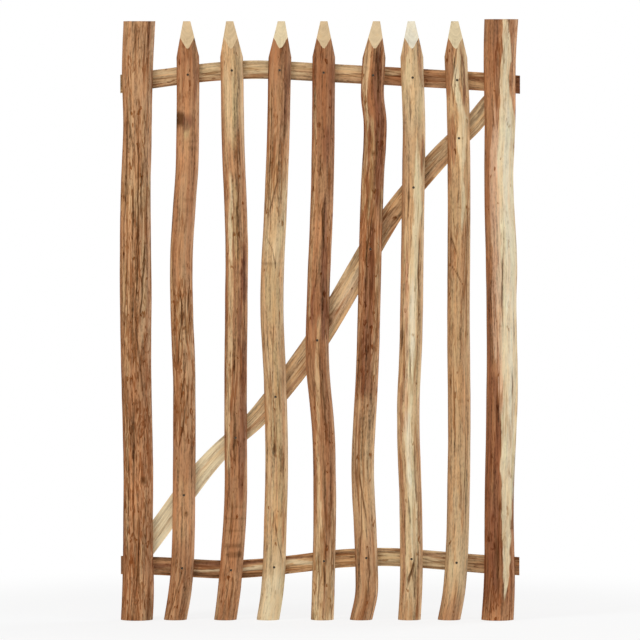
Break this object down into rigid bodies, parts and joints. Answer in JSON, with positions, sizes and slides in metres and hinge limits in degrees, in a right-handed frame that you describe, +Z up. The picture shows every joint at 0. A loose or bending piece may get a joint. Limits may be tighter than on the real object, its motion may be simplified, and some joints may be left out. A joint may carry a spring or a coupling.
{
  "type": "picket gate",
  "caption": "Rustic garden gate leaf of split poles: pointed pickets between stout posts, on bent rails with a diagonal brace.",
  "frame": {"origin": "middle of the hinge post's sawn foot", "axes": "+X from the hinge post to the latch post, seen from the front; +Y from the front to the back; +Z up along the pickets"},
  "size_m": [1.002, 0.071, 1.505],
  "materials": {
    "post_wood": "weathered split pole, furrowed, unplaned",
    "picket_wood": "peeled split pole, streaked brown and tan, pale fresh cuts at the tip",
    "rail_wood": "flat split face with lengthwise grain",
    "brace_wood": "pale streaked split face, knotty",
    "screw_steel": "dull zinc"
  },
  "bodies": {
    "root": {"hinge_post": "post_wood", "latch_post": "post_wood", "picket_1": "picket_wood", "picket_2": "picket_wood", "picket_3": "picket_wood", "picket_4": "picket_wood", "picket_5": "picket_wood", "picket_6": "picket_wood", "picket_7": "picket_wood", "top_rail": "rail_wood", "bottom_rail": "rail_wood", "brace": "brace_wood", "hinge_post_screws": "screw_steel", "latch_post_screws": "screw_steel", "picket_1_screws": "screw_steel", "picket_2_screws": "screw_steel", "picket_3_screws": "screw_steel", "picket_4_screws": "screw_steel", "picket_5_screws": "screw_steel", "picket_6_screws": "screw_steel", "picket_7_screws": "screw_steel"}
  },
  "joints": []
}
